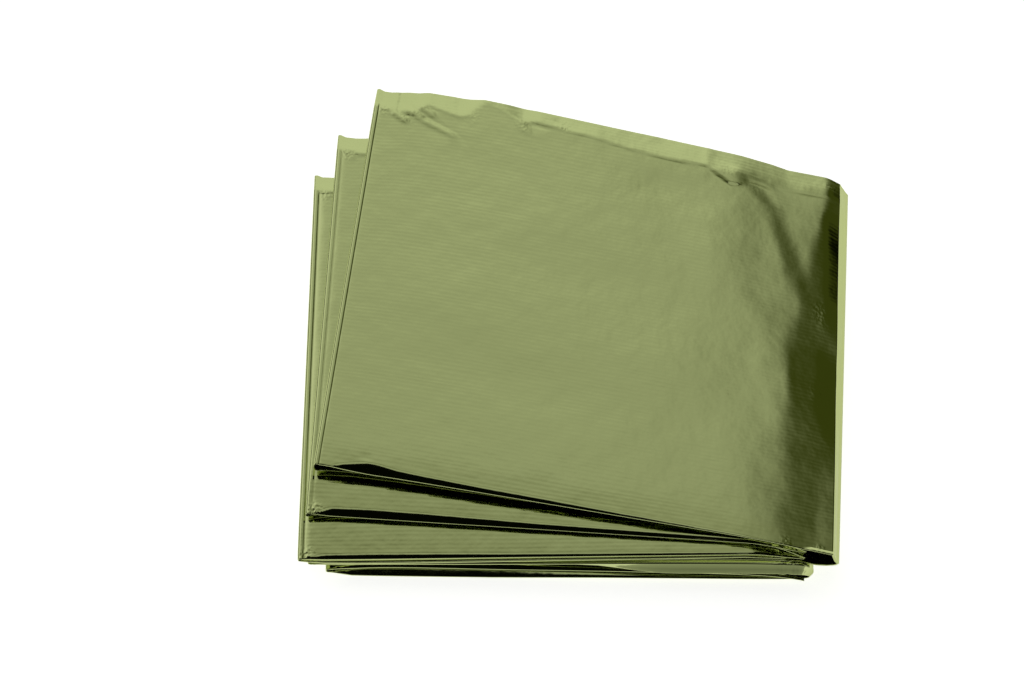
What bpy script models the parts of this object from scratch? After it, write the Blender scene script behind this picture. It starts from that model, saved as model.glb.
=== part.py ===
"""Emergency foil blanket, folded flat: one strip of film laid back and forth in five leaves.

The blanket is first gathered across its length into a strip 100 mm wide, many film layers thick. The
strip starts inside the packet, zigzags up to the top leaf, wraps round the packet's right side, goes
round the base and lies flat under it, and ends inside it. The upper leaves are fanned out, each one
turned further about the front right corner. X runs along the leaves, Y from front to back and Z up.
"""

import math
from typing import NamedTuple

import bmesh
import bpy
from mathutils import Vector

MM = 0.001

STRIP_THICKNESS = 1.0  # mm, all film layers of one pass pressed together
LAYER_GAP = 0.3  # mm of air that a pass keeps to the one below it
LEFT_X, RIGHT_X = -64.0, 48.0  # mm, where the passes' left and right heights are taken
EDGE_BAND = 0.07  # part of the width over which a hollow leaf's front and back edges round down
EDGE_DROP = 0.55  # part of the leaf's hollow that its upper pass drops by there
BULGE_POWER = 4  # how square the bulge of a bowed back edge is

BEND_STEPS = 6
PASS_STEPS = 6
ACROSS = (0.0, 0.02, 0.06, 0.2, 0.5, 0.8, 0.93, 0.975, 1.0)  # stations from the front edge to the back


class Fold(NamedTuple):
    """A fold's outermost line, or the strip's end, seen from above."""

    x: float  # mm, at its front end
    y: float  # mm, at its front end
    lean: float  # degrees from Y, clockwise
    length: float  # mm


class Pass(NamedTuple):
    """One pass of the strip between two folds, with the heights of its middle surface."""

    left: str
    right: str
    left_height: float  # mm
    right_height: float  # mm
    bow: float  # mm that the back edge bulges between the folds


class WrapPoint(NamedTuple):
    """A point on the strip's way round the right side, measured past the wrap's crease."""

    front: float  # mm, at the front edge
    back: float  # mm, at the back edge
    height: float  # mm


FOLDS = {
    "core_end": Fold(47.0, -58.6, 3.4, 95.0),
    "core_left": Fold(-63.3, -58.4, 0.2, 99.5),
    "core_right": Fold(47.4, -58.6, 3.4, 95.0),
    "middle_left": Fold(-61.3, -49.3, 2.4, 99.5),
    "top_right": Fold(47.6, -58.9, 3.4, 95.0),
    "top_left": Fold(-59.7, -39.8, 6.6, 100.2),
    "wrap": Fold(55.1, -59.4, 3.4, 95.7),
    "base_left": Fold(-61.6, -58.6, 0.6, 99.5),
    "base_right": Fold(51.3, -60.0, 2.0, 98.0),
    "floor_left": Fold(-58.0, -58.9, 0.9, 99.5),
    "base_end": Fold(47.0, -60.0, 2.0, 98.0),
}

# The passes in their order along the strip, from its end in the core to its end in the base.
PASSES = (
    Pass("core_left", "core_end", 6.8, 9.2, 0.0),
    Pass("core_left", "core_right", 8.1, 10.4, 0.0),
    Pass("middle_left", "core_right", 9.4, 11.6, 0.8),
    Pass("middle_left", "top_right", 11.8, 12.8, 0.8),
    Pass("top_left", "top_right", 13.1, 14.0, 2.0),
    Pass("top_left", "wrap", 16.6, 15.2, 2.9),
    Pass("base_left", "wrap", 5.5, 8.0, 0.0),
    Pass("base_left", "base_right", 4.2, 6.7, 0.0),
    Pass("floor_left", "base_right", 0.5, 0.5, 0.0),
    Pass("floor_left", "base_end", 2.9, 3.6, 0.0),
)

# From the end of the top pass down round the packet's right side to the start of the pass under the core.
WRAP = (
    WrapPoint(-9.0, -9.0, 15.2),
    WrapPoint(-7.0, -7.0, 15.05),
    WrapPoint(-5.0, -5.0, 14.6),
    WrapPoint(-3.0, -3.0, 14.0),
    WrapPoint(-1.5, -1.5, 13.4),
    WrapPoint(-0.4, -0.4, 12.8),
    WrapPoint(0.0, 0.2, 12.3),
    WrapPoint(0.5, 1.3, 10.4),
    WrapPoint(0.8, 1.9, 9.2),
    WrapPoint(0.2, 1.2, 8.4),
    WrapPoint(-1.2, -0.6, 7.8),
    WrapPoint(-3.0, -2.6, 7.45),
    WrapPoint(-5.5, -5.5, 7.6),
    WrapPoint(-9.0, -9.0, 8.0),
)


def mix(first, second, share):
    return first + (second - first) * share


def eased(share):
    share = min(max(share, 0.0), 1.0)
    return share * share * (3.0 - 2.0 * share)


def height_of(strip_pass, x):
    """The height of the pass's middle surface at this x, in millimetres."""
    share = min(max((x - LEFT_X) / (RIGHT_X - LEFT_X), 0.0), 1.0)
    return mix(strip_pass.left_height, strip_pass.right_height, share)


def on_fold(name, across):
    """The point of a fold's line at this share of the width, seen from above."""
    fold = FOLDS[name]
    lean = math.radians(fold.lean)
    reach = fold.length * across
    return Vector((fold.x + math.sin(lean) * reach, fold.y + math.cos(lean) * reach, 0.0))


def outward(name, side):
    """The level direction square to a fold's line and away from the packet: side is -1 for left, 1 for right."""
    lean = math.radians(FOLDS[name].lean)
    return side * Vector((math.cos(lean), -math.sin(lean), 0.0))


def inset_of(name):
    """How far inside its line a pass ends, so that the bend's outer face reaches the line."""
    if name == "wrap":
        return -WRAP[0].front
    if name.endswith("_end"):
        return 0.0
    heights = [height_of(one, FOLDS[name].x) for one in PASSES if name in (one.left, one.right)]
    return (max(heights) - min(heights) + STRIP_THICKNESS) / 2


def edge_drop(strip_pass, across, x):
    """How far the pass rounds down at the front and back edges, into the hollow over its leaf's lower pass."""
    partners = [one for one in PASSES if one.left == strip_pass.left]
    hollow = height_of(strip_pass, x) - min(height_of(one, x) for one in partners)
    hollow = max(hollow - STRIP_THICKNESS - LAYER_GAP, 0.0)
    return hollow * EDGE_DROP * (1.0 - eased(min(across, 1.0 - across) / EDGE_BAND))


def pass_line(strip_pass, across):
    """The pass's middle line at this share of the width, from left to right."""
    left = on_fold(strip_pass.left, across) - outward(strip_pass.left, -1) * inset_of(strip_pass.left)
    right = on_fold(strip_pass.right, across) - outward(strip_pass.right, 1) * inset_of(strip_pass.right)
    line = []
    for step in range(PASS_STEPS + 1):
        along = step / PASS_STEPS
        point = mix(left, right, along)
        point.y += strip_pass.bow * (1.0 - (2.0 * along - 1.0) ** BULGE_POWER) * across
        point.z = height_of(strip_pass, point.x) - edge_drop(strip_pass, across, point.x)
        line.append(point)
    return line


def bend_line(first, second, direction):
    """The half circle from one pass's end to the next one's, without the ends themselves."""
    middle = (first + second) / 2
    half = (first - second) / 2
    line = []
    for step in range(1, BEND_STEPS):
        angle = math.pi * step / BEND_STEPS
        line.append(middle + half * math.cos(angle) + direction * abs(half.z) * math.sin(angle))
    return line


def wrap_line(across):
    """The way round the right side, without the ends of the two passes that it joins."""
    line = []
    for point in WRAP[1:-1]:
        place = on_fold("wrap", across) + outward("wrap", 1) * mix(point.front, point.back, across)
        place.z = point.height
        line.append(place)
    return line


def strip_line(across):
    """The strip's middle line at this share of the width, from end to end."""
    line = []
    side = 1
    for strip_pass in PASSES:
        stretch = pass_line(strip_pass, across)
        fold = strip_pass.left
        if side == 1:
            stretch.reverse()
            fold = strip_pass.right
        if fold == "wrap":
            line += wrap_line(across)
        elif line:
            line += bend_line(line[-1], stretch[0], outward(fold, side))
        line += stretch
        side = -side
    return line


def centred(lines):
    """The lines moved so that the strip's plan is centred on the origin."""
    xs = [point.x for line in lines for point in line]
    ys = [point.y for line in lines for point in line]
    centre = Vector(((min(xs) + max(xs)) / 2, (min(ys) + max(ys)) / 2, 0.0))
    return [[point - centre for point in line] for line in lines]


def film_material():
    material = bpy.data.materials.new("olive metallised film")
    material.use_nodes = True
    shader = material.node_tree.nodes["Principled BSDF"]
    shader.inputs["Base Color"].default_value = (0.31, 0.35, 0.15, 1.0)
    shader.inputs["Roughness"].default_value = 0.3
    shader.inputs["Metallic"].default_value = 1.0
    return material


def folded_strip(name):
    """The strip's middle surface as a grid of faces, thickened to one closed solid."""
    lines = centred([strip_line(across) for across in ACROSS])
    form = bmesh.new()
    rows = [[form.verts.new(point * MM) for point in line] for line in lines]
    for near, far in zip(rows, rows[1:]):
        for step in range(len(near) - 1):
            form.faces.new((near[step], near[step + 1], far[step + 1], far[step]))
    mesh = bpy.data.meshes.new(name)
    form.to_mesh(mesh)
    form.free()
    mesh.materials.append(film_material())
    mesh.shade_smooth()
    strip = bpy.data.objects.new(name, mesh)
    bpy.context.scene.collection.objects.link(strip)
    layers = strip.modifiers.new("film layers", "SOLIDIFY")
    layers.thickness = STRIP_THICKNESS * MM
    layers.offset = 0.0
    layers.use_even_offset = True
    return strip


for old in list(bpy.data.objects):
    bpy.data.objects.remove(old, do_unlink=True)
folded_strip("foil_blanket")
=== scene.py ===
"""The folded emergency foil blanket: its film as thin layers on the folds of the CAD solid.

It lies on a pale floor in soft studio light, and the camera looks from above and in front.
"""

import math
from typing import NamedTuple

import bpy
import numpy as np
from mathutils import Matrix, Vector, noise


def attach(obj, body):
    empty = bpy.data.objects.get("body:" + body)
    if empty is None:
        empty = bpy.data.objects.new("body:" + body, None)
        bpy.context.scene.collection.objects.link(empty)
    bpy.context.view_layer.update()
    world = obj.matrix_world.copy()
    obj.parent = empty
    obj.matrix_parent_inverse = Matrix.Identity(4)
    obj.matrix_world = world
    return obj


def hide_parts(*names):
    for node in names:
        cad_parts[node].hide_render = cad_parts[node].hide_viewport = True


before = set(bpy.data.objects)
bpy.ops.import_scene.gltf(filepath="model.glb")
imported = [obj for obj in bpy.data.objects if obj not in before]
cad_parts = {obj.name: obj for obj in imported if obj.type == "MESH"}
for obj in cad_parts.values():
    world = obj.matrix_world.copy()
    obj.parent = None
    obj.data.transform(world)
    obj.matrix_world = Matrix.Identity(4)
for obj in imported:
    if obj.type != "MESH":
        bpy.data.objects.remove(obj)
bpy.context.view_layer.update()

MM = 0.001

# The folded strip, as the CAD solid has it, in millimetres.
# It is pressed thinner towards its right-hand folds.
STRIP_WIDTH = 100.0
LEFT_X, RIGHT_X = -64.0, 48.0
LEFT_THICKNESS, RIGHT_THICKNESS = 1.0, 0.5
PLAN_SHIFT = (0.06, 0.2)  # brings the folds' plan onto the CAD box's centre
FOLD_PRESS = 0.6  # share of its thickness that the strip loses at a left-hand fold
FOLD_PRESS_REACH = 1.5  # mm over which it swells again
HEM_PRESS = 0.5  # share that it loses along its front hem
HEM_PRESS_REACH = 0.8  # mm over which it swells again


class Fold(NamedTuple):
    """A fold's outermost line, or the strip's end, seen from above."""

    x: float  # mm, at its front end
    y: float  # mm, at its front end
    lean: float  # degrees from Y, clockwise
    length: float  # mm


class Pass(NamedTuple):
    """One pass of the strip between two folds, with the heights of its middle surface."""

    left: str
    right: str
    left_height: float  # mm
    right_height: float  # mm
    groove: float  # mm deep, where it leaves its left-hand fold's pressed strip
    ledge: float  # mm that the middle of its front edge stands forward
    curl: float  # how wide its front edge's curl is, as a share of the tables' widths
    hang: float  # mm that its front hem hangs down by, from the middle to the right
    columns: int  # of the mesh, along it


class WrapPoint(NamedTuple):
    """A point on the strip's way round the right side, measured past the wrap's crease."""

    front: float  # mm, at the front edge
    back: float  # mm, at the back edge
    height: float  # mm


FOLDS = {
    "core_end": Fold(48.0, -58.4, 3.8, 94.0),
    "core_left": Fold(-63.5, -58.0, 0.35, 99.2),
    "core_right": Fold(48.6, -58.6, 2.6, 94.0),
    "middle_left": Fold(-61.9, -48.4, 2.6, 99.0),
    "top_right": Fold(48.8, -57.6, 2.4, 94.0),
    "top_left": Fold(-60.15, -38.7, 6.85, 100.0),
    "wrap": Fold(54.2, -59.5, 4.0, 94.8),
    "base_left": Fold(-61.4, -57.8, 0.6, 98.5),
    "base_right": Fold(50.8, -59.9, 2.0, 97.0),
    "floor_left": Fold(-57.6, -58.4, 0.9, 98.5),
    "base_end": Fold(48.8, -61.1, 2.0, 97.0),
}
PASSES = (
    Pass("core_left", "core_end", 6.9, 12.2, 0.0, 0.6, 0.6, 0.0, 12),
    Pass("core_left", "core_right", 8.2, 13.0, 0.16, 0.1, 0.5, 0.0, 76),
    Pass("middle_left", "core_right", 9.8, 13.7, 0.0, -1.9, 0.0, 0.0, 20),
    Pass("middle_left", "top_right", 11.3, 14.25, 0.09, -0.1, 1.0, 0.0, 76),
    Pass("top_left", "top_right", 13.3, 14.8, 0.0, -1.1, 0.0, 0.0, 16),
    Pass("top_left", "wrap", 16.5, 15.5, 0.085, 0.0, 1.0, 0.0, 192),
    Pass("base_left", "wrap", 5.5, 9.3, 0.0, -0.6, 0.9, 0.2, 24),
    Pass("base_left", "base_right", 4.2, 8.6, 0.0, -0.3, 0.9, 1.5, 40),
    Pass("floor_left", "base_right", 1.4, 1.4, 0.0, 0.2, 2.5, 0.0, 24),
    Pass("floor_left", "base_end", 2.7, 3.2, 0.0, -1.3, 1.5, 0.0, 28),
)
TOP = PASSES[5]

# The wrap below its crease: the steep right face, the second crease and the slack way back under the core.
WRAP = (
    WrapPoint(0.0, 0.0, 12.3),
    WrapPoint(0.9, 1.5, 10.4),
    WrapPoint(1.6, 2.2, 9.2),
    WrapPoint(1.1, 1.5, 8.4),
    WrapPoint(-0.8, -0.4, 7.8),
    WrapPoint(-3.0, -2.6, 7.7),
    WrapPoint(-5.5, -5.5, 8.4),
    WrapPoint(-9.0, -9.0, 9.2),
)
WRAP_COLUMNS = 6  # between two of its points

# A left-hand fold's turn: shares of the half-gap, and mm outward.
LEFT_BEND_OUT = (0.12, 0.24, 0.33, 0.4, 0.45, 0.46, 0.45, 0.4, 0.33, 0.24, 0.12)
LEFT_BEND_HEIGHT = (0.97, 0.9, 0.8, 0.6, 0.3, 0.0, -0.3, -0.6, -0.8, -0.9, -0.97)
LEFT_BEND_INSET = 0.7  # mm from the fold's outermost line to where the bend begins
BEND_COLUMNS = len(LEFT_BEND_OUT) + 1
GROOVE_PLACE = 0.35  # mm from the bend to the groove beside the fold's pressed strip
GROOVE_WIDTH = 0.4  # mm
GROOVE_FADE = 0.9  # mm over which the strip comes level again
GROOVE_END = 5.2  # mm from the back edge to where the groove begins to run out
GROOVE_END_SOFTNESS = 1.0  # mm over which it does


class EdgePoint(NamedTuple):
    """Where a leaf's back edge runs, off the straight line between its folds."""

    along: float  # mm from the left fold
    off: float  # mm, positive to the back


TOP_BACK_EDGE = (
    EdgePoint(0.0, 0.0), EdgePoint(1.3, -0.5), EdgePoint(3.0, -0.4), EdgePoint(7.6, 0.7),
    EdgePoint(12.4, 1.4), EdgePoint(18.3, 1.9), EdgePoint(31.7, 2.4), EdgePoint(55.0, 2.3),
    EdgePoint(68.0, 2.35), EdgePoint(78.0, 2.1), EdgePoint(88.0, 1.85), EdgePoint(95.0, 1.3),
    EdgePoint(99.0, 0.6), EdgePoint(108.0, 0.7), EdgePoint(112.0, 0.0),
)
LOWER_BACK_EDGE = (
    EdgePoint(0.0, 0.0), EdgePoint(1.3, -0.6), EdgePoint(3.5, -0.7), EdgePoint(7.0, -0.2),
    EdgePoint(30.0, 0.8), EdgePoint(80.0, 0.8), EdgePoint(112.0, 0.0),
)


class MarginPoint(NamedTuple):
    """The pressed margin along a leaf's back edge: how deep it is, and the step down in front of it."""

    along: float  # mm from the left fold
    depth: float  # mm
    step: float  # mm


TOP_MARGIN = (
    MarginPoint(0.0, 5.6, 0.06), MarginPoint(4.5, 5.4, 0.08), MarginPoint(6.5, 6.6, 0.08),
    MarginPoint(9.0, 6.8, 0.08), MarginPoint(12.0, 3.8, 0.14), MarginPoint(16.0, 4.8, 0.12),
    MarginPoint(20.5, 6.0, 0.16), MarginPoint(22.5, 5.0, 0.16), MarginPoint(24.3, 2.6, 0.12),
    MarginPoint(25.8, 0.2, 0.04), MarginPoint(31.4, 2.3, 0.1), MarginPoint(35.5, 4.6, 0.18),
    MarginPoint(39.0, 3.4, 0.16), MarginPoint(43.0, 3.8, 0.16), MarginPoint(53.0, 4.4, 0.16),
    MarginPoint(62.0, 5.6, 0.18), MarginPoint(70.8, 6.1, 0.18), MarginPoint(79.2, 5.6, 0.22),
    MarginPoint(80.0, 5.4, 0.26), MarginPoint(82.3, 7.2, 0.28), MarginPoint(86.0, 9.2, 0.28),
    MarginPoint(87.6, 8.7, 0.26), MarginPoint(90.0, 7.2, 0.18), MarginPoint(94.0, 7.3, 0.06),
    MarginPoint(97.0, 7.0, 0.04), MarginPoint(112.0, 6.0, 0.02),
)
LOWER_MARGIN = (
    MarginPoint(0.0, 4.6, 0.06), MarginPoint(3.0, 4.3, 0.16), MarginPoint(5.5, 5.1, 0.16),
    MarginPoint(9.0, 5.0, 0.14), MarginPoint(30.0, 5.0, 0.12), MarginPoint(112.0, 5.0, 0.12),
)
MARGIN_TILT = 0.21  # how steeply the margin falls towards the edge
MARGIN_REACH = 6.0  # mm from the back edge, the most of the margin that falls
MARGIN_STEP_WIDTH = 0.5  # mm


class CurlPoint(NamedTuple):
    """A leaf's curled front edge."""

    along: float  # mm from the left fold
    width: float  # mm


TOP_CURL = (
    CurlPoint(3.5, 0.0), CurlPoint(6.2, 1.0), CurlPoint(8.6, 1.6), CurlPoint(11.2, 2.1),
    CurlPoint(13.3, 2.1), CurlPoint(18.0, 1.5), CurlPoint(25.0, 1.2), CurlPoint(35.0, 0.9),
    CurlPoint(51.0, 0.7), CurlPoint(70.0, 0.35), CurlPoint(100.0, 0.0),
)
LOWER_CURL = (
    CurlPoint(1.0, 0.0), CurlPoint(5.0, 1.5), CurlPoint(15.0, 1.7), CurlPoint(30.0, 1.5),
    CurlPoint(50.0, 1.0), CurlPoint(112.0, 0.5),
)
BASE_CURL = (
    CurlPoint(1.0, 0.0), CurlPoint(5.0, 1.3), CurlPoint(38.0, 1.3), CurlPoint(58.0, 0.7),
    CurlPoint(84.0, 0.4), CurlPoint(112.0, 0.4),
)
CURL_SLOPE = 0.38  # how steeply a curled edge falls
LIP = 0.3  # mm of flat edge in front of the upper leaves' curl

# In front of the roll, the top leaf's front edge turns up as a rim.
RIM_START = 109.0  # mm from the left fold
RIM_GROWTH = 2.0  # mm over which it grows
RIM_LIFT = 0.5  # mm
RIM_WIDTH = 1.0  # mm

# The middle of a pass's front edge can stand forward or back.
LEDGE_REACH = 0.1  # share of the strip's width that takes part
LEDGE_SQUARENESS = 8


class RollPoint(NamedTuple):
    """How the top leaf rolls down to the wrap's crease."""

    across: float  # mm from the front edge
    before: float  # mm before the crease where it begins
    softness: float  # mm over which it begins
    slope: float
    last: float  # mm before the crease where the slope changes
    change: float  # of the slope


class LeanPoint(NamedTuple):
    """The gentle lean of the top leaf before it rolls."""

    across: float  # mm from the front edge
    before: float  # mm before the crease where it begins
    slope: float


class TroughPoint(NamedTuple):
    """The soft step that runs from the margin to the roll."""

    across: float  # mm from the front edge
    before: float  # mm before the crease
    drop: float  # mm
    width: float  # mm


ROLL = (
    RollPoint(0.0, 12.4, 2.6, 0.125, 4.2, -0.04), RollPoint(8.0, 12.4, 2.6, 0.12, 4.0, -0.04),
    RollPoint(15.0, 10.4, 2.0, 0.12, 3.4, -0.03), RollPoint(21.0, 11.4, 2.4, 0.145, 3.0, -0.03),
    RollPoint(27.0, 11.9, 2.8, 0.165, 2.6, 0.0), RollPoint(34.0, 11.1, 1.4, 0.17, 3.5, 0.08),
    RollPoint(38.0, 11.1, 0.9, 0.18, 4.5, 0.14), RollPoint(42.0, 11.0, 0.4, 0.18, 5.0, 0.16),
    RollPoint(45.0, 11.5, 0.8, 0.165, 3.4, 0.12), RollPoint(49.0, 12.1, 1.6, 0.165, 4.5, 0.16),
    RollPoint(53.5, 11.2, 1.5, 0.13, 4.0, -0.01), RollPoint(58.5, 9.6, 1.0, 0.12, 3.0, 0.02),
    RollPoint(62.5, 8.4, 0.25, 0.13, 2.6, 0.05), RollPoint(66.0, 10.4, 1.2, 0.13, 2.8, 0.22),
    RollPoint(70.5, 8.0, 1.4, 0.13, 2.9, 0.25), RollPoint(74.5, 6.5, 1.2, 0.16, 2.9, 0.235),
    RollPoint(79.0, 6.0, 1.6, 0.17, 2.9, 0.235), RollPoint(83.0, 4.8, 0.9, 0.19, 2.9, 0.235),
    RollPoint(87.0, 4.2, 0.5, 0.21, 3.1, 0.235), RollPoint(91.0, 3.6, 0.5, 0.20, 2.6, 0.22),
    RollPoint(95.0, 3.0, 0.6, 0.18, 2.2, 0.18), RollPoint(100.0, 2.6, 0.6, 0.18, 2.0, 0.15),
)
LEAN = (
    LeanPoint(0.0, 19.5, 0.036), LeanPoint(8.0, 19.5, 0.036), LeanPoint(15.0, 19.0, 0.044),
    LeanPoint(21.0, 18.0, 0.016), LeanPoint(27.0, 16.0, 0.0), LeanPoint(49.0, 17.0, 0.0),
    LeanPoint(53.5, 17.3, 0.032), LeanPoint(58.5, 19.8, 0.036), LeanPoint(62.5, 23.0, 0.036),
    LeanPoint(66.0, 24.0, 0.018), LeanPoint(70.5, 24.0, 0.016), LeanPoint(74.5, 24.0, 0.018),
    LeanPoint(79.0, 24.0, 0.022), LeanPoint(83.0, 24.0, 0.034), LeanPoint(87.0, 25.0, 0.032),
    LeanPoint(91.0, 25.0, 0.022), LeanPoint(95.0, 24.0, 0.005), LeanPoint(100.0, 22.0, 0.0),
)
LEAN_SOFTNESS = 1.6  # mm over which the lean begins
LAST_SOFTNESS = 0.5  # mm over which the slope changes for the last time
TROUGH = (
    TroughPoint(66.0, 9.6, 0.0, 6.0), TroughPoint(70.3, 10.3, 0.42, 6.0),
    TroughPoint(74.5, 10.9, 0.48, 7.0), TroughPoint(78.6, 12.1, 0.36, 5.2),
    TroughPoint(82.5, 13.9, 0.24, 4.6), TroughPoint(86.5, 15.6, 0.19, 4.0),
    TroughPoint(90.0, 18.8, 0.26, 5.6), TroughPoint(93.7, 21.9, 0.32, 7.0),
    TroughPoint(96.0, 21.9, 0.08, 7.0), TroughPoint(99.8, 21.0, 0.0, 7.0),
)

BASE_TOP = 6.0  # mm, the height at the left that parts the core's passes from the base's
CORE_HEM_LEAN = 0.055  # how steeply the core's leaves fall towards their front hems
CORE_HEM_LEAN_REACH = 10.0  # mm
TOP_HEM_LEAN = 0.045  # how steeply the top leaf falls there
TOP_HEM_LEAN_REACH = 5.5  # mm
HEM_LEAN_SOFTNESS = 2.0  # mm over which the leaves begin to fall

# Under the top leaf the core's right-hand folds lie lower, clear of the roll.
SHOULDER_X = 38.0
SHOULDER_SLOPE = 0.3
SHOULDER_SOFTNESS = 1.5  # mm
SETTLE = 1.6  # mm that the core's right-hand end lies lower by than at its front edge
SETTLE_REACH = 0.25  # share of the strip's width, from the front edge, over which it comes down


class Crease(NamedTuple):
    """A straight ridge, or a groove where its height is negative, pressed into the top leaf."""

    along: float  # mm from the left fold, at its first end
    across: float  # mm from the front edge, at its first end
    to_along: float  # mm, at its second end
    to_across: float  # mm, at its second end
    width: float  # mm from its line to where it has faded
    height: float  # mm


CREASES = (
    Crease(4.0, 94.0, 8.0, 91.2, 1.0, 0.2),
    Crease(6.6, 95.2, 11.4, 92.4, 1.0, 0.18),
    Crease(9.4, 96.4, 14.6, 93.4, 1.0, 0.17),
    Crease(11.6, 91.9, 20.0, 88.8, 1.0, 0.16),
    Crease(12.0, 93.2, 21.5, 88.6, 0.7, -0.06),
    Crease(34.2, 95.8, 37.5, 92.8, 1.0, 0.10),
    Crease(36.0, 96.3, 41.5, 95.3, 0.9, -0.08),
    Crease(43.0, 98.4, 47.5, 96.4, 1.1, -0.10),
    Crease(82.5, 98.0, 90.0, 94.0, 0.8, -0.06),
    Crease(86.0, 95.6, 96.0, 92.6, 1.3, 0.10),
    Crease(95.0, 87.4, 108.0, 87.2, 1.0, 0.03),
    Crease(97.0, 90.6, 108.5, 91.6, 1.2, 0.03),
    Crease(31.0, 88.5, 47.0, 85.5, 0.8, 0.015),
    Crease(9.0, 82.0, 24.0, 80.0, 0.8, 0.012),
)
CREASE_FADE = 4.0  # a crease fades over one part in this many of its length, at each end


class Swell(NamedTuple):
    """A gentle rise, or a hollow where its height is negative, in the top leaf."""

    along: float  # mm from the left fold
    across: float  # mm from the front edge
    long: float  # mm to where it has faded
    wide: float  # mm
    turn: float  # degrees
    height: float  # mm


SWELLS = (
    Swell(11.0, 3.6, 2.2, 1.0, 0.0, -0.07),
    Swell(30.0, 80.0, 26.0, 13.0, 10.0, -0.08),
    Swell(72.0, 86.0, 18.0, 6.0, -6.0, -0.16),
    Swell(84.0, 72.0, 12.0, 16.0, 20.0, 0.18),
    Swell(55.0, 58.0, 30.0, 12.0, -8.0, -0.16),
    Swell(24.0, 46.0, 22.0, 14.0, 0.0, 0.14),
    Swell(78.0, 40.0, 22.0, 13.0, 12.0, 0.18),
    Swell(46.0, 28.0, 30.0, 10.0, -4.0, -0.14),
    Swell(92.0, 20.0, 12.0, 16.0, 0.0, 0.12),
    Swell(97.0, 45.0, 5.0, 4.0, 40.0, 0.10),
    Swell(99.0, 37.0, 4.0, 3.0, -30.0, 0.08),
)


class Crumple(NamedTuple):
    """A place where the film is crushed into small facets."""

    along: float  # mm from the left fold
    across: float  # mm from the front edge
    reach: float  # mm
    strength: float


CRUMPLES = (
    Crumple(8.5, 93.0, 5.0, 0.2), Crumple(35.5, 94.5, 2.6, 0.3), Crumple(24.0, 95.0, 3.0, 0.2),
    Crumple(45.5, 97.0, 2.6, 0.3), Crumple(84.5, 94.5, 3.4, 0.12), Crumple(91.5, 91.5, 3.0, 0.08),
    Crumple(109.0, 97.5, 2.0, 0.25), Crumple(2.0, 94.5, 2.4, 0.5), Crumple(109.0, 62.0, 3.5, 0.35),
    Crumple(109.5, 40.0, 3.0, 0.3), Crumple(105.0, 0.8, 2.2, 0.4), Crumple(112.5, 0.8, 2.0, 0.4),
)

LOWER_CRUMPLES = (
    Crumple(2.5, 95.5, 3.4, 0.5), Crumple(1.5, 0.8, 3.2, 0.6), Crumple(105.5, 1.0, 4.5, 0.7),
)


def mix(first, second, share):
    return first + (second - first) * share


def eased(share):
    share = np.clip(share, 0.0, 1.0)
    return share * share * (3.0 - 2.0 * share)


def hinged(reach, softness):
    """Grows as reach does once it is positive, with the corner at zero rounded off."""
    return 0.5 * (reach + np.sqrt(reach * reach + softness * softness))


def read(table, place):
    """A table's other columns, between its rows."""
    columns = np.array(table).T
    return [np.interp(place, columns[0], column) for column in columns[1:]]


def rightward(x):
    """Grows from 0 at the left-hand folds to 1 at the right-hand ones."""
    return np.clip((x - LEFT_X) / (RIGHT_X - LEFT_X), 0.0, 1.0)


def height_of(strip_pass, x):
    return mix(strip_pass.left_height, strip_pass.right_height, rightward(x))


def thickness_at(x):
    return mix(LEFT_THICKNESS, RIGHT_THICKNESS, rightward(x))


def settled(x, across):
    """How far the core has sunk under the top leaf's right-hand side."""
    share = rightward(x)
    shoulder = SHOULDER_SLOPE * hinged(x - SHOULDER_X, SHOULDER_SOFTNESS)
    return shoulder + SETTLE * share * share * eased(across / SETTLE_REACH)


def on_fold(name, across):
    fold = FOLDS[name]
    lean = math.radians(fold.lean)
    reach = fold.length * across
    return np.array((fold.x + math.sin(lean) * reach, fold.y + math.cos(lean) * reach))


def outward(name, side):
    lean = math.radians(FOLDS[name].lean)
    return side * np.array((math.cos(lean), -math.sin(lean)))


def inset_of(name):
    if name == "wrap" or name.endswith("_end"):
        return 0.0
    if name.endswith("_left"):
        return LEFT_BEND_INSET
    x = FOLDS[name].x
    heights = [float(height_of(one, x)) for one in PASSES if name in (one.left, one.right)]
    return (max(heights) - min(heights) + thickness_at(x)) / 2


def margin_relief(table, along, from_back):
    """The margin's own slope, and the step down in front of it."""
    depth, step = read(table, along)
    inside = np.maximum(np.minimum(depth, MARGIN_REACH) - from_back, 0.0)
    within = 1.0 - eased((from_back - depth) / MARGIN_STEP_WIDTH + 0.5)
    return step * within - MARGIN_TILT * inside


def roll_drop(across_mm, before):
    """How far the top leaf has come down on its way to the wrap's crease."""
    start, softness, slope, last, change = read(ROLL, across_mm)
    drop = slope * hinged(start - before, softness) + change * hinged(last - before, LAST_SOFTNESS)
    start, slope = read(LEAN, across_mm)
    drop += slope * hinged(start - before, LEAN_SOFTNESS)
    line, step, width = read(TROUGH, across_mm)
    return drop + step * eased((line - before) / width + 0.5)


def crease_relief(crease, along, across_mm):
    start = np.array((crease.along, crease.across))
    way = np.array((crease.to_along, crease.to_across)) - start
    share = ((along - start[0]) * way[0] + (across_mm - start[1]) * way[1]) / (way @ way)
    reach = np.hypot(along - start[0] - way[0] * share, across_mm - start[1] - way[1] * share)
    first_end = np.clip(CREASE_FADE * share + 0.5, 0.0, 1.0)
    second_end = np.clip(CREASE_FADE * (1.0 - share) + 0.5, 0.0, 1.0)
    ends = first_end * second_end
    return crease.height * ends * np.clip(1.0 - reach / crease.width, 0.0, 1.0)


def swell_relief(swell, along, across_mm):
    turn = math.radians(swell.turn)
    side, up = along - swell.along, across_mm - swell.across
    long = (side * math.cos(turn) + up * math.sin(turn)) / swell.long
    wide = (up * math.cos(turn) - side * math.sin(turn)) / swell.wide
    return swell.height * (1.0 - eased(np.hypot(long, wide)))


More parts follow.
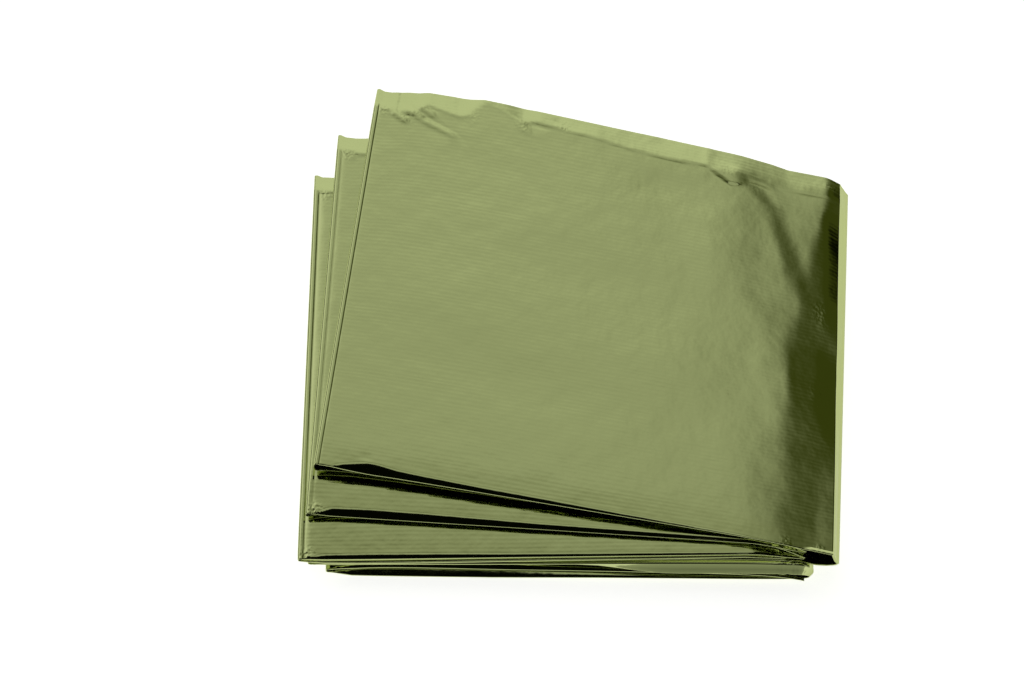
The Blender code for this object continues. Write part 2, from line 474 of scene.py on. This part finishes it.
def crumpling(crumples, along, across_mm):
    """How much the film is crushed, from 0 to 1."""
    total = np.zeros_like(along)
    for crumple in crumples:
        reach = np.hypot(along - crumple.along, across_mm - crumple.across) / crumple.reach
        total = np.maximum(total, crumple.strength * (1.0 - eased(reach)))
    return total


FACET_HEIGHT = 0.12  # mm
PLATES_PER_MM = 0.7
PLATE_LAYER = 3.0
PLATE_SHARE = 0.2  # of the facets' height
HILLS_PER_MM = 1.1


def facets(along, across_mm):
    """Small sharp hills and hollows, about a millimetre wide."""
    relief = []
    for place in along:
        plate = noise.cell(Vector((PLATES_PER_MM * place, PLATES_PER_MM * across_mm, PLATE_LAYER)))
        hill = noise.noise(Vector((HILLS_PER_MM * place, HILLS_PER_MM * across_mm, 0.0)))
        relief.append(plate * PLATE_SHARE + hill)
    return np.array(relief)


def groove_shape(along):
    past = (along - GROOVE_PLACE) / GROOVE_WIDTH
    return eased(past) * np.exp(-np.maximum(past - 1.0, 0.0) * GROOVE_WIDTH / GROOVE_FADE)


def curl_drop(width, lip, across_mm):
    return CURL_SLOPE * np.clip(width - max(across_mm - lip, 0.0), 0.0, width)


def top_relief(along, width, across_mm):
    """The top leaf's creases, swells and roll, in millimetres upwards."""
    hem_lean = TOP_HEM_LEAN * hinged(TOP_HEM_LEAN_REACH - across_mm, HEM_LEAN_SOFTNESS)
    relief = -roll_drop(across_mm, width - along) - hem_lean
    relief += RIM_LIFT * max(1.0 - across_mm / RIM_WIDTH, 0.0) * eased((along - RIM_START) / RIM_GROWTH)
    for crease in CREASES:
        relief += crease_relief(crease, along, across_mm)
    for swell in SWELLS:
        relief += swell_relief(swell, along, across_mm)
    return relief


COLUMN_CROWDING = 0.85  # share by which the mesh's columns stand closer together at the folds
HANG, CRUSHED, THICKNESS = 3, 4, 5  # a line's columns after x, y and z
LINE_COLUMNS = 6


def pass_line(strip_pass, across):
    """A pass at one place across the strip.

    Its columns are its middle surface's x, y and z, its hem's hang, how crushed it is and its thickness.
    """
    is_top = strip_pass is TOP
    inset_right = inset_of(strip_pass.right)
    if strip_pass.right == "wrap" and not is_top:
        inset_right = -WRAP[-1].front
    left = on_fold(strip_pass.left, across) - outward(strip_pass.left, -1) * inset_of(strip_pass.left)
    right = on_fold(strip_pass.right, across) - outward(strip_pass.right, 1) * inset_right
    even = np.linspace(0.0, 1.0, strip_pass.columns + 1)
    share = even - COLUMN_CROWDING * np.sin(2 * np.pi * even) / (2 * np.pi)
    width = np.hypot(*(right - left))
    along = share * width
    across_mm = across * STRIP_WIDTH
    line = np.zeros((len(share), LINE_COLUMNS))
    line[:, :2] = left + (right - left) * share[:, None]
    line[:, 1] += read(TOP_BACK_EDGE if is_top else LOWER_BACK_EDGE, along)[0] * across
    in_ledge = 1.0 - (2.0 * share - 1.0) ** LEDGE_SQUARENESS
    line[:, 1] -= strip_pass.ledge * max(1.0 - across / LEDGE_REACH, 0.0) * in_ledge
    in_margin = eased((across_mm + GROOVE_END - STRIP_WIDTH) / GROOVE_END_SOFTNESS)
    groove = strip_pass.groove * groove_shape(along) * (1.0 - in_margin)
    line[:, 2] = height_of(strip_pass, line[:, 0]) - groove
    in_base = strip_pass.left_height < BASE_TOP
    curl_table = TOP_CURL if is_top else BASE_CURL if in_base else LOWER_CURL
    lip = 0.0 if in_base else LIP
    line[:, 2] -= curl_drop(strip_pass.curl * read(curl_table, along)[0], lip, across_mm)
    if not is_top and not in_base:
        hem_lean = CORE_HEM_LEAN * hinged(CORE_HEM_LEAN_REACH - across_mm, HEM_LEAN_SOFTNESS)
        line[:, 2] -= settled(line[:, 0], across) + hem_lean
    if strip_pass.groove:
        margin = TOP_MARGIN if is_top else LOWER_MARGIN
        line[:, 2] += margin_relief(margin, along, STRIP_WIDTH - across_mm)
    if is_top:
        line[:, 2] += top_relief(along, width, across_mm)
    line[:, CRUSHED] = crumpling(CRUMPLES if is_top else LOWER_CRUMPLES, along, across_mm)
    if line[:, CRUSHED].any():
        line[:, 2] += FACET_HEIGHT * line[:, CRUSHED] * facets(along, across_mm)
    line[:, HANG] = strip_pass.hang * eased((share - HANG_START) / HANG_GROWTH)
    pressed = 1.0 - FOLD_PRESS * np.exp(-along / FOLD_PRESS_REACH)
    pressed *= 1.0 - HEM_PRESS * math.exp(-across_mm / HEM_PRESS_REACH)
    thickness = thickness_at(line[:, 0])
    line[:, 2] += thickness * (1.0 - pressed) / 2  # its upper side stays where it was
    line[:, THICKNESS] = thickness * pressed
    return line


def bend_line(first, second, fold, side):
    middle, half = (first + second) / 2, (first - second) / 2
    if side == -1:
        heights, out = np.array(LEFT_BEND_HEIGHT), np.array(LEFT_BEND_OUT)
        if half[2] < 0.0:
            heights, out = -heights[::-1], out[::-1]
    else:
        angle = np.pi * np.arange(1, BEND_COLUMNS) / BEND_COLUMNS
        heights, out = np.cos(angle), abs(half[2]) * np.sin(angle)
    line = middle + np.outer(heights, half)
    line[:, :2] += outward(fold, side) * out[:, None]
    return line


WRAP_FACE_DROP = 1.0  # mm, the least that the right face drops by under the crease


def wrap_line(across):
    places = np.array([(mix(point.front, point.back, across), point.height) for point in WRAP])
    crease = float(pass_line(TOP, across)[-1, 2])
    places[0, 1] = crease
    places[1, 1] = min(places[1, 1], crease - WRAP_FACE_DROP)
    shares = np.arange(1, (len(WRAP) - 1) * WRAP_COLUMNS) / WRAP_COLUMNS
    past = np.interp(shares, np.arange(len(WRAP)), places[:, 0])
    heights = np.interp(shares, np.arange(len(WRAP)), places[:, 1])
    line = np.zeros((len(shares), LINE_COLUMNS))
    line[:, THICKNESS] = RIGHT_THICKNESS
    line[:, :2] = on_fold("wrap", across) + outward("wrap", 1) * past[:, None]
    line[:, 2] = heights
    return line


def strip_line(across):
    stretches = []
    side = 1
    for strip_pass in PASSES:
        stretch = pass_line(strip_pass, across)
        fold = strip_pass.left
        if side == 1:
            stretch = stretch[::-1]
            fold = strip_pass.right
        if fold == "wrap":
            stretches.append(wrap_line(across))
        elif stretches:
            stretches.append(bend_line(stretches[-1][-1], stretch[0], fold, side))
        stretches.append(stretch)
        side = -side
    line = np.concatenate(stretches)
    line[:, :2] += PLAN_SHIFT
    return line


class Row(NamedTuple):
    """A row of the film's points, at its place across the strip."""

    place: float  # mm from the strip's front edge
    height: float  # share of the strip's thickness, off its middle surface
    hang: float  # share of the hem's hang


HEM = (
    Row(0.22, 0.5, 0.0), Row(0.10, 0.44, 0.0), Row(0.03, 0.3, 0.0), Row(0.0, 0.0, 0.1),
    Row(0.0, -0.2, 0.5), Row(0.02, -0.35, 0.85), Row(0.026, -0.43, 0.96), Row(0.03, -0.46, 0.99),
    Row(0.12, -0.5, 1.0), Row(0.3, -0.5, 0.85), Row(0.34, -0.5, 0.4), Row(0.36, -0.5, 0.05),
)
HEM_SPREAD = 1.25  # how far a hanging hem stands out at its foot, as a share of its hang
HANG_START = 0.55  # share of the pass's width where its hem begins to hang
HANG_GROWTH = 0.2  # share of the width over which it grows to its full hang


class Stretch(NamedTuple):
    """A stretch of the upper ply, across the strip, with evenly spaced rows of points."""

    start: float  # mm from the front edge
    end: float  # mm
    spacing: float  # mm


UPPER_PLY = (
    Stretch(STRIP_WIDTH, 88.0, 0.45),
    Stretch(88.0, 10.0, 2.5),
    Stretch(10.0, 3.0, 0.7),
    Stretch(3.0, 0.3, 0.2),
)
# The hidden plies have fewer rows, close enough together to stay under the roll and the trough.
HIDDEN_PLY = (
    0.8, 3.0, 8.0, 16.0, 27.0, 33.0, 41.5, 49.0, 53.5, 58.5, 62.5, 66.0, 70.5, 74.5, 79.0, 83.0, 88.0,
    93.5, 98.5,
)
# Shares of the strip's thickness, off its middle surface, from the upper ply down, and then back up inside.
UPPER_SIDE, LOWER_SIDE = 0.5, -0.5
BACK_TURN = Row(99.85, -0.42, 0.0)
THIRD_PLY = -0.34
FRONT_TURN = Row(0.6, -0.26, 0.0)
FOURTH_PLY = -0.18


def film_rows():
    """The film's way: over the top from the back edge, round the front hem, and back and forth inside."""
    rows = []
    for stretch in UPPER_PLY:
        places = np.arange(stretch.start, stretch.end, -stretch.spacing)
        rows += [Row(place, UPPER_SIDE, 0.0) for place in places]
    rows += HEM
    rows += [Row(place, LOWER_SIDE, 0.0) for place in HIDDEN_PLY]
    rows.append(BACK_TURN)
    rows += [Row(place, THIRD_PLY, 0.0) for place in reversed(HIDDEN_PLY)]
    rows.append(FRONT_TURN)
    rows += [Row(place, FOURTH_PLY, 0.0) for place in HIDDEN_PLY]
    return rows


SLOPE_REACH = 0.04  # mm to either side, to find which way the strip faces


def film_points():
    """The film's points in millimetres, their place on the flat film, and how crushed they are."""
    points, flat, crushed = [], [], []
    reach = SLOPE_REACH / STRIP_WIDTH
    middle = strip_line(0.5)[:, :3]
    steps = np.linalg.norm(np.diff(middle, axis=0), axis=1)
    along_film = np.concatenate(((0.0,), np.cumsum(steps)))
    for row in film_rows():
        across = row.place / STRIP_WIDTH
        line = strip_line(across)
        along = np.gradient(line[:, :3], axis=0)
        behind = strip_line(min(across + reach, 1.0))
        in_front = strip_line(max(across - reach, 0.0))
        sideways = (behind - in_front)[:, :3]
        normal = np.cross(along, sideways)
        normal /= np.linalg.norm(normal, axis=1)[:, None]
        off = row.height * line[:, THICKNESS] - row.hang * line[:, HANG]
        line[:, 1] -= HEM_SPREAD * row.hang * line[:, HANG]
        points.append(line[:, :3] + normal * off[:, None])
        flat.append(np.stack((along_film, np.full(len(line), row.place)), axis=1))
        crushed.append(line[:, CRUSHED])
    return np.array(points), np.array(flat), np.array(crushed)


def film_mesh(name):
    points, flat, crushed = film_points()
    rows, columns = points.shape[:2]
    mesh = bpy.data.meshes.new(name)
    corner = np.arange(rows * columns).reshape(rows, columns)
    around = (corner[:-1, :-1], corner[1:, :-1], corner[1:, 1:], corner[:-1, 1:])
    quads = np.stack(around, axis=-1).reshape(-1, 4)
    mesh.from_pydata((points.reshape(-1, 3) * MM).tolist(), [], quads.tolist())
    flat_film = mesh.uv_layers.new(name="flat_film")
    flat_film.uv.foreach_set("vector", flat.reshape(-1, 2)[quads.reshape(-1)].astype(np.float32).reshape(-1))
    mark = mesh.attributes.new("crushed", "FLOAT", "POINT")
    mark.data.foreach_set("value", crushed.astype(np.float32).reshape(-1))
    mesh.shade_smooth()
    piece = bpy.data.objects.new(name, mesh)
    bpy.context.scene.collection.objects.link(piece)
    return piece


def linear(hex_colour):
    """An sRGB hex value as linear red, green and blue."""
    channels = [int(hex_colour[place:place + 2], 16) / 255 for place in (1, 3, 5)]
    return tuple(c / 12.92 if c <= 0.04045 else ((c + 0.055) / 1.055) ** 2.4 for c in channels)


def node(tree, kind, settings=None, links=None):
    """Adds a node with its settings, and links its inputs, by name or number, to other nodes' outputs."""
    made = tree.nodes.new(kind)
    for key, value in (settings or {}).items():
        if isinstance(key, int) or key in made.inputs:
            made.inputs[key].default_value = value
        else:
            setattr(made, key, value)
    for key, output in (links or {}).items():
        tree.links.new(output, made.inputs[key])
    return made


FILM_COLOUR = "#B3BC83"
FILM_GRAZING_TINT = "#DDE0C8"
FILM_ROUGHNESS = 0.08
RIB_WANDER = 1.4  # mm, between the noise's darkest and brightest
RIB_DEPTH = 0.000003  # m
SLACK_DEPTH = 0.00012  # m
FACET_DEPTH = 0.00016  # m


def metallised_film():
    """Polyester film with vacuum-coated aluminium under an olive lacquer: a coloured, slightly soft mirror.

    The rolls of the coating machine leave fine ribs along it, and it has small facets where it is crushed.
    """
    material = bpy.data.materials.new("metallised polyester film")
    material.use_nodes = True
    tree = material.node_tree
    shader = tree.nodes["Principled BSDF"]
    shader.inputs["Base Color"].default_value = (*linear(FILM_COLOUR), 1.0)
    shader.inputs["Metallic"].default_value = 1.0
    shader.inputs["Roughness"].default_value = FILM_ROUGHNESS
    shader.inputs["Specular Tint"].default_value = (*linear(FILM_GRAZING_TINT), 1.0)

    place = node(tree, "ShaderNodeUVMap", {"uv_map": "flat_film"}).outputs["UV"]
    # The ribs are 1 mm apart and wander by a fraction of that along the film.
    wander = node(tree, "ShaderNodeMapping", {"Scale": (0.02, 0.25, 1.0)}, {"Vector": place})
    drift = node(tree, "ShaderNodeTexNoise", {"Scale": 1.0, "Detail": 2.0},
                 {"Vector": wander.outputs["Vector"]})
    across = node(tree, "ShaderNodeSeparateXYZ", links={"Vector": place})
    phase = node(tree, "ShaderNodeMath", {"operation": "MULTIPLY_ADD", 1: RIB_WANDER},
                 {0: drift.outputs["Fac"], 2: across.outputs["Y"]})
    turns = node(tree, "ShaderNodeMath", {"operation": "MULTIPLY", 1: 2 * math.pi},
                 {0: phase.outputs["Value"]})
    rib = node(tree, "ShaderNodeMath", {"operation": "SINE"}, {0: turns.outputs["Value"]})
    faint = node(tree, "ShaderNodeMapping", {"Scale": (0.03, 0.11, 1.0)}, {"Vector": place})
    strength = node(tree, "ShaderNodeTexNoise", {"Scale": 1.0, "Detail": 3.0},
                    {"Vector": faint.outputs["Vector"]})
    shown = node(tree, "ShaderNodeMapRange",
                 {"From Min": 0.38, "From Max": 0.66, "To Min": 0.5, "To Max": 0.95},
                 {"Value": strength.outputs["Fac"]})
    ribs = node(tree, "ShaderNodeMath", {"operation": "MULTIPLY"},
                {0: rib.outputs["Value"], 1: shown.outputs["Result"]})
    rib_bump = node(tree, "ShaderNodeBump", {"Strength": 1.0, "Distance": RIB_DEPTH},
                    {"Height": ribs.outputs["Value"]})

    # Faint slack in the film, some millimetres across.
    slack = node(tree, "ShaderNodeTexNoise", {"Scale": 0.16, "Detail": 3.0, "Roughness": 0.45},
                 {"Vector": place})
    slack_bump = node(tree, "ShaderNodeBump", {"Strength": 1.0, "Distance": SLACK_DEPTH},
                      {"Height": slack.outputs["Fac"], "Normal": rib_bump.outputs["Normal"]})

    # Crushed film: facets about 0.8 mm wide.
    crush = node(tree, "ShaderNodeAttribute", {"attribute_name": "crushed"})
    facet = node(tree, "ShaderNodeTexVoronoi", {"Scale": 1.3, "Randomness": 1.0}, {"Vector": place})
    crushed = node(tree, "ShaderNodeMath", {"operation": "MULTIPLY"},
                   {0: facet.outputs["Distance"], 1: crush.outputs["Fac"]})
    crush_bump = node(tree, "ShaderNodeBump", {"Strength": 1.0, "Distance": FACET_DEPTH},
                      {"Height": crushed.outputs["Value"], "Normal": slack_bump.outputs["Normal"]})
    tree.links.new(crush_bump.outputs["Normal"], shader.inputs["Normal"])
    return material


FLOOR_SIZE = 6.0  # m
FLOOR_GREY = 0.8
FLOOR_ROUGHNESS = 0.9
FLOOR_GLOW = 0.82


def floor():
    bpy.ops.mesh.primitive_plane_add(size=FLOOR_SIZE)
    piece = bpy.context.active_object
    piece.name = "studio_floor"
    material = bpy.data.materials.new("white acrylic light table")
    material.use_nodes = True
    shader = material.node_tree.nodes["Principled BSDF"]
    shader.inputs["Base Color"].default_value = (FLOOR_GREY, FLOOR_GREY, FLOOR_GREY, 1.0)
    shader.inputs["Roughness"].default_value = FLOOR_ROUGHNESS
    shader.inputs["Specular IOR Level"].default_value = 0.0
    shader.inputs["Emission Color"].default_value = (1.0, 1.0, 1.0, 1.0)
    shader.inputs["Emission Strength"].default_value = FLOOR_GLOW
    piece.data.materials.append(material)


class Patch(NamedTuple):
    """A soft round patch of the studio, which the film mirrors."""

    bearing: float  # degrees clockwise from straight behind the packet
    elevation: float  # degrees
    full: float  # degrees from its middle to where it begins to fade
    faded: float  # degrees from its middle to where it has faded
    colour: str


PATCHES = (
    Patch(90.0, 24.0, 14.0, 24.0, "#C4C6C0"),  # light cards to the right, to the left and overhead
    Patch(-90.0, 24.0, 14.0, 24.0, "#C4C6C0"),
    Patch(0.0, 90.0, 9.0, 14.0, "#C4C6C0"),
    Patch(-52.0, 44.0, 10.0, 27.0, "#FFFFFF"),  # a bright card to the left
    Patch(-61.0, 9.0, 12.0, 26.0, "#3C4028"),  # a dark one under it
    Patch(53.0, 38.0, 14.0, 38.0, "#4A5022"),  # an olive flag to the right and behind
    Patch(58.0, 22.0, 8.0, 16.0, "#0E1004"),  # and a black one under it
)
# The studio's brightness from the horizon behind the packet, over the zenith, to the horizon in front of it.
SURROUND = (
    (0.0, "#FFFFFC"), (30.0, "#FCFEF8"), (45.0, "#F6F8F2"), (52.0, "#E9EBE4"), (58.0, "#D6D8D1"),
    (62.0, "#CDCFC8"), (66.0, "#C8CAC3"), (73.0, "#B0B2A6"), (80.0, "#686C52"), (87.0, "#080A03"),
    (150.0, "#060802"), (162.0, "#9A9D96"), (180.0, "#C4C6C0"),
)


def surround():
    world = bpy.data.worlds.new("studio surround")
    bpy.context.scene.world = world
    world.use_nodes = True
    tree = world.node_tree
    direction = node(tree, "ShaderNodeTexCoord").outputs["Generated"]
    parts = node(tree, "ShaderNodeSeparateXYZ", links={"Vector": direction})
    angle = node(tree, "ShaderNodeMath", {"operation": "ARCTAN2"},
                 {0: parts.outputs["Z"], 1: parts.outputs["Y"]})
    share = node(tree, "ShaderNodeMapRange", {"From Max": math.pi}, {"Value": angle.outputs["Value"]})
    ramp = node(tree, "ShaderNodeValToRGB", links={"Fac": share.outputs["Result"]})
    stops = ramp.color_ramp.elements
    stops.remove(stops[1])
    for number, (degrees, colour) in enumerate(SURROUND):
        stop = stops.new(degrees / 180.0) if number else stops[0]
        stop.position = degrees / 180.0
        stop.color = (*linear(colour), 1.0)
    seen = ramp.outputs["Color"]
    for patch in PATCHES:
        bearing, elevation = math.radians(patch.bearing), math.radians(patch.elevation)
        level = math.cos(elevation)
        middle = (math.sin(bearing) * level, math.cos(bearing) * level, math.sin(elevation))
        near = node(tree, "ShaderNodeVectorMath", {"operation": "DOT_PRODUCT", 1: middle}, {0: direction})
        inside = node(tree, "ShaderNodeMapRange",
                      {"interpolation_type": "SMOOTHSTEP", "From Min": math.cos(math.radians(patch.faded)),
                       "From Max": math.cos(math.radians(patch.full))}, {"Value": near.outputs["Value"]})
        laid = node(tree, "ShaderNodeMix", {"data_type": "RGBA", 7: (*linear(patch.colour), 1.0)},
                    {0: inside.outputs["Result"], 6: seen})
        seen = laid.outputs[2]
    tree.links.new(seen, tree.nodes["Background"].inputs["Color"])


LAMP_LENGTH, LAMP_DEPTH = 1.4, 1.2  # m
LAMP_POWER = 1.5  # W
LAMP_PLACE = (0.0, 0.28, 1.3)  # m


def floor_light():
    """A soft light, high up and a little behind, that only the floor shows."""
    data = bpy.data.lights.new("overhead softbox", "AREA")
    data.shape = "RECTANGLE"
    data.size = LAMP_LENGTH
    data.size_y = LAMP_DEPTH
    data.energy = LAMP_POWER
    lamp = bpy.data.objects.new("overhead softbox", data)
    bpy.context.scene.collection.objects.link(lamp)
    lamp.location = LAMP_PLACE
    lamp.rotation_euler = (-lamp.location).to_track_quat("-Z", "Y").to_euler()
    lamp.visible_glossy = False


CAMERA_LENS = 100.0  # mm
CAMERA_SENSOR = 36.0  # mm wide
CAMERA_NEAREST = 0.01  # m
CAMERA_ELEVATION = 62.0  # degrees
CAMERA_DISTANCE = 0.6627  # m
CAMERA_TARGET = (-15.94, 0.70, 0.0)  # mm


def camera():
    data = bpy.data.cameras.new("camera")
    data.lens = CAMERA_LENS
    data.sensor_width = CAMERA_SENSOR
    data.clip_start = CAMERA_NEAREST
    view = bpy.data.objects.new("camera", data)
    bpy.context.scene.collection.objects.link(view)
    elevation = math.radians(CAMERA_ELEVATION)
    target = Vector(CAMERA_TARGET) * MM
    view.location = target + CAMERA_DISTANCE * Vector((0.0, -math.cos(elevation), math.sin(elevation)))
    view.rotation_euler = (math.pi / 2 - elevation, 0.0, 0.0)
    bpy.context.scene.camera = view


bpy.context.scene.view_settings.view_transform = "Standard"
camera()
surround()
floor_light()
floor()

film = film_mesh("film")
film.data.materials.append(metallised_film())
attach(film, "root")
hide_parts("foil_blanket")
